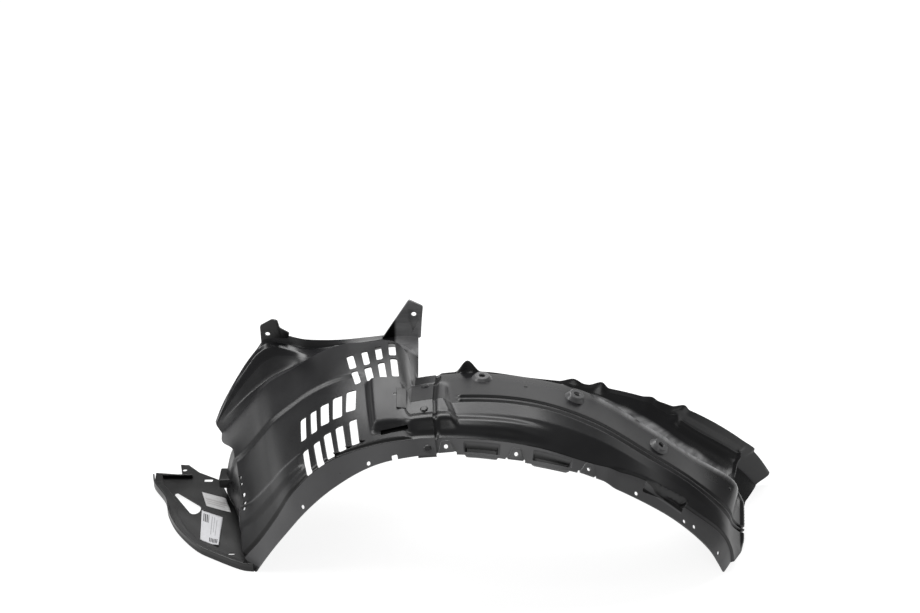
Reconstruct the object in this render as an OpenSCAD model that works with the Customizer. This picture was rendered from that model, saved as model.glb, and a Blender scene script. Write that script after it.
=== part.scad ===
// Wheel arch liner: two moulded shells that overlap at a seam over the wheel, and three rivets through it.
// Angles turn about the wheel axis: 0 is straight up, negative is towards the front of the car.
// A station is [angle, radius, depth], with depth counted inboard from the fender edge.

/* [Shell] */
// Wall of the moulded shells
wall = 2.5; // [2:0.1:3.5]
// Radius of the fender edge over the wheel
arch_r = 420; // [400:1:440]
// Height of the wheel axis under the feet
axis_drop = 195; // [185:1:205]
// Depth of the front shell at its main panel
front_depth = 250; // [235:1:265]
// Depth of the rear shell
rear_depth = 190; // [180:1:200]
// Width of the fender flange on the front shell
front_lip_w = 22; // [16:1:28]
// Width of the fender flange on the rear shell
rear_lip_w = 14; // [10:1:20]

/* [Front shell] */
// How far the front panel bulges out between its two long edges
front_crown = 12; // [6:1:16]
// Height of the step along each stiffening rib
rib_step = 4; // [2:0.5:7]
// Height of the raised pad beside the seam
pad_step = 9; // [4:0.5:12]
// Width of a louvre slot in the two lower rows
slot_w = 14; // [10:0.5:16]
// Width of a louvre slot in the two upper rows
top_slot_w = 10; // [7:0.5:12]
// Length of a slot in the two lower rows
slot_len = 44; // [34:1:47]
// Length of the longest slot in the two upper rows
top_slot_len = 44; // [34:1:47]

/* [Front tray] */
// Height of the tray's rim over its floor
rim_h = 14; // [8:1:20]
// Slope of the tray's floor, rising inboard
tray_slope = 1.5; // [0.5:0.5:3]
// Radius of the wide end of the drop-shaped hole
drop_r = 10; // [7:0.5:12]

/* [Rear shell] */
// Depth of the double groove along the rear shell
groove = 6; // [3:0.5:7]
// Height of the wedge-shaped ridge between the groove and the fender flange
wedge_step = 6; // [3:0.5:8]
// Height of the block beside the seam on the rear shell
block_step = 10; // [5:0.5:13]
// Height of the band along the top edge over the rear foot
band_step = 5; // [3:0.5:7]
// Height of the raised tabs on the rear fender flange
tab_step = 3; // [2:0.5:5]
// Depth of the pockets in the rear fender flange
pocket_depth = 8; // [5:0.5:9]

/* [Fixings] */
// Radius of the holes for push clips
clip_r = 4; // [3:0.1:5]
// Radius of the flat top of a raised boss round a clip hole
boss_r = 11; // [9:0.5:13]
// Height of the tallest boss; the others are drawn in proportion
boss_h = 14; // [10:0.5:16]
// Thickness of the two ears that stand over the inboard wall
ear_t = 4; // [3:0.5:6]
// Width of the flange that overlaps at the seam
seam_w = 24; // [20:1:30]
// Gap between the two shells where they overlap
seam_gap = 0.3; // [0.2:0.1:0.6]
// Radius of a seam rivet's shank
rivet_r = 3; // [2:0.1:4]

/* [Hidden] */
$fn = 32;
// Stations along each shell
front_n = 42;
rear_n = 54;
// Offsets are drawn in millimetres for an arch of 420 mm, and grow with it
grow = arch_r / 420;
axis_x = 20 * grow;
mid_x = -1.55 * grow;
mid_y = 164.6 * grow;
// Height at which the lowest stations end, under the cut along the floor
foot_z = -4;
// Radial room for the front shell's flange over the rear shell, with its slopes
seam_rise = wall * 1.35 + seam_gap;
// Share of the rear shell's length at the seam line, and at the end of the flange over it
seam_t = 0.0052;
rear_span = 96;
flange_end_t = seam_t + seam_w / arch_r / PI * 180 / rear_span;
through = 30;

// Puts its children in the part's own frame: middle of the liner, on the floor, feet trimmed flat
floor_cut = 2 * arch_r;
module placed() {
    translate([-mid_x, -mid_y, 0])
        difference() {
            children();
            translate([-floor_cut, -floor_cut, -floor_cut]) cube([2 * floor_cut, 2 * floor_cut, floor_cut]);
        }
}

// A point on the arch from its angle, radius and depth
function spot(s) = [s[1] * sin(s[0]) + axis_x, s[2], s[1] * cos(s[0]) - axis_drop];

// Smooth curve through a list, with t running from 0 to 1
function blend(a, b, c, d, f) =
    0.5 * (2 * b + (c - a) * f + (2 * a - 5 * b + 4 * c - d) * f * f + (3 * b - a - 3 * c + d) * f * f * f);
function curve(list, t) =
    let (last = len(list) - 1,
         at = min(max(t, 0), 1) * last,
         i = min(floor(at), last - 1),
         before = i == 0 ? 2 * list[0] - list[1] : list[i - 1],
         after = i + 2 > last ? 2 * list[last] - list[last - 1] : list[i + 2])
    blend(before, list[i], list[i + 1], after, at - i);

// Soft step from 0 to 1 between a and b, and a raised window between them
function ramp(x, a, b) = let (f = min(max((x - a) / (b - a), 0), 1)) f * f * (3 - 2 * f);
function window(x, a, b, soft) = ramp(x, a - soft, a) * (1 - ramp(x, b, b + soft));
function sum(list, i = 0) = i == len(list) ? 0 : list[i] + sum(list, i + 1);

// Stations from a list of angles, with what each stands out from the arch radius and from a depth
function stations(angles, radii, far, depths) =
    [for (i = [0:len(angles) - 1]) [angles[i], arch_r + grow * radii[i], far + grow * depths[i]]];

function unit(v) = v / max(norm(v), 0.001);
function normal(g, i, j) =
    let (rows = len(g) - 1,
         cols = len(g[0]) - 1,
         along = g[i][min(j + 1, cols)] - g[i][max(j - 1, 0)],
         across = g[min(i + 1, rows)][j] - g[max(i - 1, 0)][j])
    unit(cross(along, across));

// Closed shell of one wall thickness under a grid of points; its last rows may end some columns short
module shell(g, t, short_rows = 0, short_cols = 0) {
    rows = len(g);
    cols = len(g[0]);
    skin = rows * cols;
    outer = [for (i = [0:rows - 1]) for (j = [0:cols - 1]) g[i][j]];
    inner = [for (i = [0:rows - 1]) for (j = [0:cols - 1]) g[i][j] - t * normal(g, i, j)];
    function at(i, j) = i * cols + j;
    function filled(i, j) =
        i >= 0 && j >= 0 && i < rows - 1 && j < cols - 1
        && (i < rows - 1 - short_rows || j < cols - 1 - short_cols);
    function side(a, b) = [a, skin + a, skin + b, b];
    // A cell is split along its shorter diagonal, in the same way on both sides of the wall
    function split(i, j, k) =
        norm(g[i][j] - g[i + 1][j + 1]) > norm(g[i + 1][j] - g[i][j + 1])
        ? [[k + at(i, j), k + at(i + 1, j), k + at(i, j + 1)], [k + at(i + 1, j), k + at(i + 1, j + 1), k + at(i, j + 1)]]
        : [[k + at(i, j), k + at(i + 1, j), k + at(i + 1, j + 1)], [k + at(i, j), k + at(i + 1, j + 1), k + at(i, j + 1)]];
    function turned(f) = [f[0], f[2], f[1]];
    faces = [for (i = [0:rows - 2]) for (j = [0:cols - 2]) if (filled(i, j)) each [
        each split(i, j, 0),
        each [for (f = split(i, j, skin)) turned(f)],
        if (!filled(i, j - 1)) side(at(i, j), at(i + 1, j)),
        if (!filled(i, j + 1)) side(at(i + 1, j + 1), at(i, j + 1)),
        if (!filled(i - 1, j)) side(at(i, j + 1), at(i, j)),
        if (!filled(i + 1, j)) side(at(i + 1, j), at(i + 1, j + 1))]];
    polyhedron(points = concat(outer, inner), faces = faces, convexity = 8);
}

// Puts its children on a surface, with X along the arch, Y across it and Z out of it
module on(p, along, across) {
    y = unit(across);
    z = unit(cross(along, across));
    x = cross(y, z);
    multmatrix([[x[0], y[0], z[0], p[0]], [x[1], y[1], z[1], p[1]], [x[2], y[2], z[2], p[2]]]) children();
}

// Angle at which a rail that stands out from the arch radius reaches a height over the floor
function foot_a(out, z) = acos((axis_drop + z) / (arch_r + grow * out));

// Rear shell: rails that run from the seam to the rear foot, which the last radius of each reaches
rear_a = [-12, 0, 12, 24, 36, 47, 56, 60.5];
function rear_rail(radii, far, depths, z = foot_z) =
    stations(concat(rear_a, [foot_a(radii[len(rear_a)], z)]), radii, far, depths);
rear_rails = [
    rear_rail([-2, -10, -17, -10, -4, 7, 14, 14, 14], 0, [0, 0, 0, 0, 0, 0, 0, 0, 0]),
    rear_rail([20, 10, 5, 2, 16, 21, 35, 34, 24], rear_lip_w, [0, 0, 0, 2, 11, 11, 11, 11, 11]),
    rear_rail([30, 26, 25, 22, 21, 31, 41, 38, 38], 0, [60, 60, 58, 55, 50, 48, 42, 42, 50]),
    rear_rail([34, 32, 31, 26, 24, 38, 46, 44, 54], 0, [80, 82, 82, 78, 70, 60, 58, 68, 90]),
    rear_rail([19, 18, 18, 24, 30, 45, 74, 62, 75], rear_depth, [0, 0, -1, -9, -32, -48, -62, -58, -42]),
    rear_rail([15, 14, 13, 17, 21, 34, 52, 60, 90], rear_depth, [4, 4, 3, -3, -22, -34, -38, -18, 2]),
    rear_rail([11, 11, 8, 24, 47, 51, 71, 86, 103], rear_depth, [8, 8, 8, 5, 4, 13, 27, 38, 40], 8),
    rear_rail([13, 14, 11, 28, 53, 75, 94, 105, 112], rear_depth, [12, 12, 12, 11, 13, 26, 40, 49, 58], 16)];

// Place on the rear shell: t along it, and v across it in rails counted from the fender edge
function rear_station(t, v) =
    let (w = min(max(v, 0), len(rear_rails) - 1), i = min(floor(w), len(rear_rails) - 2))
    curve(rear_rails[i], t) * (1 - (w - i)) + curve(rear_rails[i + 1], t) * (w - i);
// The top edge's small ears, as [t, height, half width]
rim_ears = [[0.108, 20, 0.028], [0.335, 7, 0.028], [0.392, 9, 0.022], [0.5, 4, 0.02], [0.57, 5, 0.02]];
function rim_wave(t) = grow * sum([for (e = rim_ears) e[1] * (1 - ramp(abs(t - e[0]), 0, e[2]))]);
groove_v = [3.06, 3.2];
function rear_out(t, v) =
    wedge_step * window(v, 1.4, 1.6, 0.3) * (1 - ramp(t, 0.18, 0.3))
    - groove * sum([for (g = groove_v) window(v, g, g + 0.01, 0.05)]) * ramp(t, 0.1, 0.12)
    + block_step * window(v, 1.5, 3.5, 0.25) * (1 - ramp(t, 0.062, 0.086))
    + band_step * ramp(v, 5.7, 5.85) * (1 - window(v, 6.25, 6.45, 0.1)) * window(t, 0.57, 0.86, 0.02)
    + rim_wave(t) * ramp(v, 5, 7);
// Under the front shell's flange the rear shell is sunk by the room that the flange takes
function rear_sink(t) = seam_rise * (1 - ramp(t, flange_end_t + 0.002, flange_end_t + 0.012));
function rear_point(t, v) = spot(rear_station(t, v) + [0, rear_out(t, v) - rear_sink(t), 0]);
rear_v = [0, 1, 1.25, 1.5, 1.75, 2, 3, 3.065, 3.135, 3.205, 3.27, 3.5, 3.75, 4, 5, 5.7, 5.85, 6.15, 6.25, 6.45, 6.55, 7];
rear_t = concat([0, flange_end_t + 0.002, flange_end_t + 0.012],
    [for (j = [3:rear_n - 1]) j / (rear_n - 1)]);
module on_rear(t, v)
    on(rear_point(t, v), rear_point(t + 0.01, v) - rear_point(t - 0.01, v),
       rear_point(t, v + 0.1) - rear_point(t, v - 0.1)) children();

// Front shell: rails that run from the front foot to the seam, first the flange and the panel's lower edge
front_a = [-60.8, -54, -47, -40, -31, -21, -11.5];
front_lip = stations(front_a, [-29, -28, -25, -18, -8, 1, -2], 0, [0, 0, 0, 0, 0, 0, 0]);
front_crease = stations(concat([-60], [for (i = [1:6]) front_a[i]]),
    [-6, -10, -4, 11, 24, 23, 20], front_lip_w, [0, 0, 0, 0, 0, -2, -8]);
// Panel's upper edge, the valley behind it, then the inboard wall with its top, shelf and rim
front_wall_a = [-56.6, -53.5, -50.3, -47.3, -44.4, -41.6, -39, -36.3, -33.3, -28, -22, -15, -12];
front_rails = [
    stations(front_wall_a, [76, 74, 74, 75, 77, 78, 76, 74, 75, 76, 71, 59, 20],
        front_depth, [18, 18, 18, 18, 17, 16, 15, 14, 13, 10, 3, -9, -60]),
    stations(front_wall_a, [91, 88, 85, 83, 81, 79, 75, 71, 66, 55, 46, 40, 14],
        front_depth, [30, 31, 32, 34, 35, 36, 36, 35, 33, 28, 20, 8, -52]),
    stations(front_wall_a, [93, 98, 103, 108, 112, 116, 110, 88, 66, 50, 38, 28, 20],
        front_depth, [34, 40, 47, 53, 59, 63, 64, 59, 50, 44, 42, 40, 30]),
    stations(front_wall_a, [94, 99, 105, 109, 114, 118, 116, 92, 66, 50, 38, 30, 22],
        front_depth, [37, 44, 51, 57, 63, 68, 73, 72, 70, 66, 62, 58, 50]),
    stations(front_wall_a, [95, 101, 106, 111, 116, 120, 124, 110, 82, 56, 41, 31, 24],
        front_depth, [40, 48, 55, 61, 67, 72, 77, 78, 77, 75, 72, 68, 64])];
// Angle by which the middle of the panel's front end stands back from the tray
foot_trim = 4.5;
// Share of the front panel taken by the seam, where it follows the rear shell
function seam_share(t) = ramp(t, 0.95, 0.99);
front_t = concat([for (j = [0:front_n - 4]) 0.95 * j / (front_n - 4)], [0.963, 0.977, 0.99, 1]);
// The low double rib leans across the panel as it runs up from the foot
rib_lean = 0.15;
function front_out(t, s) =
    front_crown * 4 * s * (1 - s)
    + rib_step * (1 - ramp(t, 0.8, 0.86)) * ramp(s, 0.6, 0.63)
    + rib_step * (1 - ramp(t, 0.56, 0.6)) * window(s + rib_lean * t, 0.18, 0.25, 0.03)
    + pad_step * ramp(t, 0.85, 0.875) * window(s, 0.12, 0.5 + 0.33 * seam_share(t), 0.04);
function seam_station(v) = rear_station(seam_t, v) + [0, rear_out(seam_t, v), 0];
function front_station(t, s) =
    curve(front_crease, t) * (1 - s) + curve(front_rails[0], t) * s + [0, front_out(t, s), 0];
function front_point(t, s) =
    let (k = seam_share(t),
         own = front_station(t, s),
         seam = seam_station(1 + 3 * s),
         trim = foot_trim * window(s, 0.32, 0.66, 0.3) * pow(1 - t, 4))
    spot([own[0] + trim, own[1] * (1 - k) + seam[1] * k, own[2] * (1 - k) + seam[2] * k]);
// Rows across the panel; those by the low double rib lean with it
front_rows = [0, 0.08, 0.12, 0.15, 0.18, 0.25, 0.28, 0.38, 0.48, 0.52, 0.6, 0.63, 0.75, 0.88, 1];
function row_s(row, t) = row - rib_lean * min(t, 0.6) * window(row, 0.15, 0.28, 0.15) * (1 - ramp(t, 0.6, 0.8));
module on_front(t, s)
    on(front_point(t, s), front_point(t + 0.01, s) - front_point(t - 0.01, s),
       front_point(t, s + 0.02) - front_point(t, s - 0.02)) children();
// Rows of the inboard wall, counted in rails from the panel's upper edge
wall_rows = [1, 1.5, 2, 3, 4];
function wall_station(t, u) =
    let (i = floor(u))
    u == i ? curve(front_rails[i], t) : curve(front_rails[i], t) * (i + 1 - u) + curve(front_rails[i + 1], t) * (u - i);

// Flange of the front shell that lies over the end of the rear shell, as more columns of the same grid.
// The inboard wall stops at the seam: its rows only need points there for the slope of its edge.
flange_cols = 3;
flange_t = [for (k = [1:flange_cols]) seam_t + k / flange_cols * (flange_end_t - seam_t)];
valley_v = 4.72;
function flange_point(t, v) = spot(rear_station(t, v) + [0, rear_out(t, v), 0]);
function with_flange(points, v) = concat(points, [for (t = flange_t) flange_point(t, v)]);
function past_seam(u) = [for (t = flange_t) spot(wall_station(1, u) + [(t - seam_t) * rear_span, 0, 0])];
function wall_points(u) = [for (t = front_t) spot(wall_station(t, u))];
front_grid = concat(
    [with_flange([for (t = front_t) spot(curve(front_lip, t))], 0)],
    [for (row = front_rows) with_flange([for (t = front_t) front_point(t, row_s(row, t))], 1 + 3 * row)],
    [for (u = wall_rows) u == 1 ? with_flange(wall_points(u), valley_v) : concat(wall_points(u), past_seam(u))]);

// Louvres as [t, s, share of the full length]: two lower rows, then two upper rows
mid_slots = [[0.61, 0.35, 1], [0.663, 0.35, 1], [0.708, 0.363, 1], [0.752, 0.376, 1], [0.796, 0.395, 1]];
low_slots = [[0.6, 0.094, 1], [0.654, 0.091, 1], [0.7, 0.109, 1], [0.744, 0.121, 1], [0.791, 0.136, 1]];
top_slots = [[0.812, 0.761, 0.85], [0.847, 0.799, 0.88], [0.876, 0.837, 0.86], [0.906, 0.897, 0.86],
             [0.82, 0.598, 0.65], [0.854, 0.619, 0.75], [0.886, 0.631, 0.95], [0.918, 0.689, 1]];
mid_lean = -8;
low_lean = -3;
top_lean = 7;
module slot(w, l) {
    cube([w, l, through], center = true);
}
module slots(list, w, l, lean) {
    for (c = list)
        on_front(c[0], c[1]) rotate([0, 0, lean]) slot(w, l * c[2]);
}
module louvres() {
    slots(mid_slots, slot_w, slot_len, mid_lean);
    slots(low_slots, slot_w, slot_len, low_lean);
    slots(top_slots, top_slot_w, top_slot_len, top_lean);
}
// Slanted vanes under the rear side of the lower slots
vane_h = 9;
vane_tilt = 25;
module vanes() {
    for (c = [low_slots[2], low_slots[3], low_slots[4]])
        on_front(c[0], c[1])
            translate([slot_w / 2 - 1, 0, -wall / 2])
                rotate([0, vane_tilt, low_lean])
                    translate([0, -slot_len / 2 - 2, -vane_h])
                        cube([wall * 0.7, slot_len + 4, vane_h]);
}
// Opening in the lower side of the pad, a small slot in its face, and holes and a notch in the flange
pad_gap = [0.922, 0.085, 44, 7];
pad_slot = [0.936, 0.362, 10, 3];
flange_holes = [0.5, 0.812];
flange_notch_t = 0.908;
flange_notch_w = 9;
module front_openings() {
    for (c = [pad_gap, pad_slot])
        on_front(c[0], c[1]) cube([c[2], c[3], through], center = true);
    for (t = flange_holes)
        on_front(t, 0)
            translate([0, -front_lip_w * 0.75, 0]) cylinder(r = clip_r * 0.8, h = 1.5 * through, center = true);
    on_front(flange_notch_t, 0)
        translate([0, -front_lip_w * 1.2, 0]) cube([flange_notch_w, front_lip_w * 0.6, 1.5 * through], center = true);
}

// Ears that stand up from the inboard wall, each drawn from its clip hole
module ear(at, outline) {
    translate(at)
        rotate([90, 0, 0])
            linear_extrude(ear_t, center = true)
                difference() {
                    polygon(outline);
                    circle(r = clip_r);
                }
}
front_ear = grow * [[-12, 15], [8, 27], [17, 25], [20, 11], [36, 1], [26, -22], [-11, -32]];
front_ear_at = spot(curve(front_rails[4], 0.5)) + grow * [3, 1, 7];
seam_ear = grow * [[-53, -46], [-8, 27], [15, 15], [13, -9], [11, -43], [-40, -47]];
seam_ear_at = spot(curve(front_rails[4], 1)) + grow * [-7, 0, 40];

// Tray at the front foot, in plan: its curved rim, its straight inboard side and the side along the panel
tray_rim = grow * [[-322, 3], [-343, 8], [-385, 32], [-416, 54], [-450, 97], [-470, 139], [-480, 176],
                   [-503, 215], [-509, 238]];
tray_back = grow * [[-510, 257], [-466, 252], [-472, 280], [-458, 279], [-438, 258], [-401, 236]];
tray_inner = grow * [[-365, 152], [-350, 107], [-332, 39]];
tray_corner = grow * [-385, 200];
drop_at = grow * [-433, 157];
drop_tip = grow * [-467, 197];
drop_tip_r = 3.5;
drop_side = unit([drop_tip[1] - drop_at[1], drop_at[0] - drop_tip[0]]);
tray_hole_at = grow * [-463, 265];
tray_slot_at = grow * [-420, 236];
tray_slot = [14, 9];
low_slot_at = grow * [-361, 42];
low_slot = [10, 5];
ledge_at = grow * [-507, 244];
ledge = [44, 9];
rim_parts = 16;
rim_line = [for (i = [0:rim_parts]) curve(tray_rim, i / rim_parts)];
function inward(list, d) =
    [for (i = [0:len(list) - 1])
        let (a = list[max(i - 1, 0)],
             b = list[min(i + 1, len(list) - 1)],
             n = unit([b[1] - a[1], a[0] - b[0]]))
        list[i] + d * n];
function backward(list) = [for (i = [len(list) - 1:-1:0]) list[i]];
module on_tray() {
    rotate([tray_slope, 0, 0]) children();
}
module drop_hole() {
    translate(drop_at) circle(r = drop_r);
    translate(drop_tip) circle(r = drop_tip_r);
    polygon([drop_at + drop_r * drop_side, drop_tip + drop_tip_r * drop_side,
             drop_tip - drop_tip_r * drop_side, drop_at - drop_r * drop_side]);
}
module tray() {
    on_tray() {
        linear_extrude(wall)
            difference() {
                polygon(concat(rim_line, tray_back, tray_inner));
                drop_hole();
                translate(tray_hole_at) circle(r = clip_r);
                translate(tray_slot_at) square(tray_slot, center = true);
                translate(low_slot_at) square(low_slot, center = true);
            }
        linear_extrude(rim_h) polygon(concat(rim_line, backward(inward(rim_line, -wall))));
        linear_extrude(rim_h * 0.7) translate(ledge_at) square(ledge);
    }
}

// Perforated plate between the tray and the end of the main panel, with holes as [s, share of the height, radius]
plate_s = [0.02, 0.15, 0.3, 0.45, 0.6, 0.72];
plate_holes = [[0.2, 0.5, 3], [0.34, 0.5, 2.5], [0.52, 0.5, 3], [0.6, 0.5, 2]];
function plate_foot(s) =
    let (p = curve(backward(concat([tray_corner], tray_inner)), s / max(plate_s)),
         y = p[1] * cos(tray_slope))
    [p[0], y, p[1] * sin(tray_slope)];
function plate_head(s) = front_point(0.012, s) - [wall / 3, 0, wall / 3];
function plate_mid(s, f) = plate_head(s) * f + plate_foot(s) * (1 - f);
module end_plate() {
    difference() {
        shell([[for (s = plate_s) plate_head(s)], [for (s = plate_s) plate_foot(s)]], wall);
        for (h = plate_holes)
            on(plate_mid(h[0], h[1]), plate_mid(h[0] + 0.02, h[1]) - plate_mid(h[0], h[1]),
               plate_head(h[0]) - plate_foot(h[0]))
                cylinder(r = h[2], h = 4 * wall, center = true);
    }
}

module front_section() {
    color([0.16, 0.16, 0.17])
    placed() difference() {
        union() {
            shell(front_grid, wall, len(wall_rows) - 1, flange_cols);
            vanes();
            ear(front_ear_at, front_ear);
            ear(seam_ear_at, seam_ear);
            tray();
            end_plate();
        }
        louvres();
        front_openings();
        rivet_holes();
    }
}

// Raised clip bosses as [t, v, share of the full height], and plain clip holes as [t, v]
bosses = [[0.138, 3.81, 0.43], [0.336, 3.66, 1], [0.534, 3.54, 0.71]];
plain_holes = [[0.23, 3.65], [0.74, 3.71], [0.494, 0.22], [0.636, 0.26], [0.669, 0.36], [0.818, 0.28]];
boss_flare = 4;
boss_root = wall * 0.6;
module boss_form(r, h, root) {
    translate([0, 0, -root]) cylinder(r1 = r + boss_flare, r2 = r, h = h + root);
}
tabs = [[0.061, 0.48], [0.21, 0.4], [0.372, 0.45]];
tab_w = 26;
tab_half = 9;
module tab() {
    translate([0, 0, -wall / 2])
        linear_extrude(wall / 2 + tab_step)
            polygon([[-tab_w / 2, -tab_half], [tab_w / 2, -tab_half], [tab_w / 4, tab_half], [-tab_w / 4, tab_half]]);
}
pockets = [[0.136, 0.5, 54], [0.291, 0.52, 54], [0.56, 0.62, 66]];
pocket_w = 16;
// Height of a pocket's rim over the shell
rim_over = 0.6;
module pocket(l) {
    translate([0, 0, rim_over - (pocket_depth + wall) / 2])
        difference() {
            cube([l + 2 * wall, pocket_w + 2 * wall, pocket_depth + wall], center = true);
            translate([0, 0, wall]) cube([l, pocket_w, pocket_depth + wall], center = true);
        }
}
// Cut-outs in the fender edge beside each tab
edge_cut_l = 30;
edge_cut_w = 7;
module rear_section() {
    color([0.2, 0.2, 0.21])
    placed() {
        difference() {
            union() {
                shell([for (v = rear_v) [for (t = rear_t) rear_point(t, v)]], wall);
                for (p = tabs)
                    on_rear(p[0], p[1]) tab();
                for (p = pockets)
                    on_rear(p[0], p[1]) pocket(p[2]);
                for (p = bosses)
                    on_rear(p[0], p[1]) boss_form(boss_r, boss_h * p[2], boss_root);
            }
            for (p = pockets)
                on_rear(p[0], p[1])
                    translate([0, 0, pocket_depth / 2]) cube([p[2], pocket_w, 2 * pocket_depth], center = true);
            for (p = tabs)
                on_rear(p[0], 0) cube([edge_cut_l, edge_cut_w, through], center = true);
            for (p = bosses)
                on_rear(p[0], p[1]) {
                    boss_form(boss_r - wall, boss_h * p[2] - wall, through / 4);
                    cylinder(r = clip_r, h = through, center = true);
                }
            for (p = concat(plain_holes, tabs))
                on_rear(p[0], p[1]) cylinder(r = clip_r * 0.75, h = through, center = true);
            rivet_holes();
        }
    }
}

// Rivets that hold the front shell's flange to the rear shell, as [t, v] of the rear shell
seam_mid_t = (seam_t + flange_end_t) / 2;
rivets = [[seam_mid_t, 3.45], [seam_mid_t, 2.1], [seam_mid_t, 0.5]];
rivet_head_r = 6;
rivet_head_h = 1.6;
module rivet_holes() {
    for (p = rivets)
        on_rear(p[0], p[1]) cylinder(r = rivet_r + seam_gap, h = through, center = true);
}
module seam_rivets() {
    tail_z = -wall * 1.1 - seam_gap;
    color([0.12, 0.12, 0.13])
    translate([-mid_x, -mid_y, 0])
        for (p = rivets)
            on_rear(p[0], p[1]) {
                translate([0, 0, seam_rise + seam_gap])
                    cylinder(r1 = rivet_head_r, r2 = rivet_head_r * 0.7, h = rivet_head_h);
                translate([0, 0, tail_z]) cylinder(r = rivet_r, h = seam_rise + seam_gap - tail_z + rivet_head_h / 2);
                translate([0, 0, tail_z - rivet_head_h]) cylinder(r = rivet_head_r, h = rivet_head_h);
            }
}

// Paper labels stuck on the tray's floor
label_t = 0.3;
parts_sheet = grow * [[-427, 203], [-386, 186], [-373, 147], [-415, 165]];
shipping_sheet = grow * [[-421, 153], [-385, 135], [-383, 59], [-414, 77]];
module label(outline) {
    translate([-mid_x, -mid_y, 0]) on_tray() translate([0, 0, wall]) linear_extrude(label_t) polygon(outline);
}
module parts_label() {
    color([0.72, 0.71, 0.7]) label(parts_sheet);
}
module shipping_label() {
    color([0.93, 0.93, 0.95]) label(shipping_sheet);
}

front_section();
rear_section();
seam_rivets();
parts_label();
shipping_label();
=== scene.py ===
import math
import bpy
import bmesh
import numpy as np
from mathutils import Matrix, Vector


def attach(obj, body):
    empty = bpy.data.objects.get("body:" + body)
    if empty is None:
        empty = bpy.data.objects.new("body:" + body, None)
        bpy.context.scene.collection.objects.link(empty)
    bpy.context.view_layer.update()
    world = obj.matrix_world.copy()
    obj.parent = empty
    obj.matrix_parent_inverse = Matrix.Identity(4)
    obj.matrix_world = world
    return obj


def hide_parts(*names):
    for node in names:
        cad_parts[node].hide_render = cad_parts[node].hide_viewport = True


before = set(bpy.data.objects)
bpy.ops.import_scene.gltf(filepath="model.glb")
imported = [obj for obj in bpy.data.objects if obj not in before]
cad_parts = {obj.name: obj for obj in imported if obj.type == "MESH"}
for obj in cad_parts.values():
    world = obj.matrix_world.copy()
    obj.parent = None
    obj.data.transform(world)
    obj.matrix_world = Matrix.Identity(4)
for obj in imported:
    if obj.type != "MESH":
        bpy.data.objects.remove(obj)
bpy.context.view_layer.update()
scene = bpy.context.scene
print("cad frame loaded")

# camera: 70 mm lens, looking along +Y and 29 degrees down
camera = bpy.data.objects.new("camera", bpy.data.cameras.new("camera"))
scene.collection.objects.link(camera)
camera.data.lens = 70
camera.data.sensor_width = 36
camera.data.clip_end = 20
camera.location = (-0.00307, -2.37595, 1.69327)
camera.rotation_euler = (math.radians(61), 0, 0)
scene.camera = camera
scene.view_settings.view_transform = "Standard"


def hexColour(text):
    # sRGB hex to linear colour
    parts = [int(text[i:i + 2], 16) / 255 for i in (0, 2, 4)]
    return [c / 12.92 if c <= 0.04045 else ((c + 0.055) / 1.055) ** 2.4 for c in parts] + [1.0]


def addNode(tree, kind, settings=None, links=None):
    # one node, its settings and the sockets that feed it
    item = tree.nodes.new(kind)
    for key, value in (settings or {}).items():
        if isinstance(key, str) and hasattr(item, key):
            setattr(item, key, value)
        else:
            item.inputs[key].default_value = value
    for key, source in (links or {}).items():
        tree.links.new(source, item.inputs[key])
    return item


def newMaterial(name):
    material = bpy.data.materials.new(name)
    material.use_nodes = True
    material.node_tree.nodes.clear()
    return material, material.node_tree


# white paper stage; each lamp as [place, target, size, power]
stageLook = {
    "floor": "989898", "glow": 0.86, "world": 0.19, "floorSize": 14, "floorZ": -0.0004,
    "lamps": {
        "overheadBox": [(-0.2, 1.1, 1.9), (0, 0.05, 0.1), (2.4, 0.9), 40],
        "backdropBox": [(0.9, 2.7, 0.7), (0.1, 0, 0.15), (4.2, 1.5), 15],
        "leftBox": [(-2.2, -0.2, 1.5), (-0.2, 0.1, 0.2), (0.7, 1.6), 26],
        "frontBox": [(0.8, -2.6, 1.8), (0, 0, 0.1), (1.6, 1.2), 13]}}

floorMesh = bpy.data.meshes.new("floor")
bm = bmesh.new()
bmesh.ops.create_grid(bm, x_segments=1, y_segments=1, size=stageLook["floorSize"])
bm.to_mesh(floorMesh)
bm.free()
floor = bpy.data.objects.new("floor", floorMesh)
scene.collection.objects.link(floor)
floor.location.z = stageLook["floorZ"]
floorMaterial, tree = newMaterial("floorPaper")
rays = addNode(tree, "ShaderNodeLightPath")
seen = rays.outputs["Is Camera Ray"]
for kind in ("Is Glossy Ray", "Is Transmission Ray"):
    seen = addNode(tree, "ShaderNodeMath", {"operation": "MAXIMUM"}, {0: seen, 1: rays.outputs[kind]}).outputs[0]
glow = addNode(tree, "ShaderNodeMath", {"operation": "MULTIPLY", 1: stageLook["glow"]}, {0: seen})
paper = addNode(tree, "ShaderNodeBsdfDiffuse", {"Color": hexColour(stageLook["floor"])})
lit = addNode(tree, "ShaderNodeEmission", {"Color": (1, 1, 1, 1)}, {"Strength": glow.outputs[0]})
both = addNode(tree, "ShaderNodeAddShader", None, {0: paper.outputs[0], 1: lit.outputs[0]})
addNode(tree, "ShaderNodeOutputMaterial", None, {"Surface": both.outputs[0]})
floorMesh.materials.append(floorMaterial)

world = bpy.data.worlds.new("studio")
scene.world = world
world.use_nodes = True
tree = world.node_tree
tree.nodes.clear()
rays = addNode(tree, "ShaderNodeLightPath")
strength = addNode(tree, "ShaderNodeMix", {"data_type": "FLOAT", 2: stageLook["world"], 3: 1.0},
                   {0: rays.outputs["Is Camera Ray"]})
sky = addNode(tree, "ShaderNodeBackground", {"Color": (1, 1, 1, 1)}, {"Strength": strength.outputs[0]})
addNode(tree, "ShaderNodeOutputWorld", None, {"Surface": sky.outputs[0]})


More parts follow.
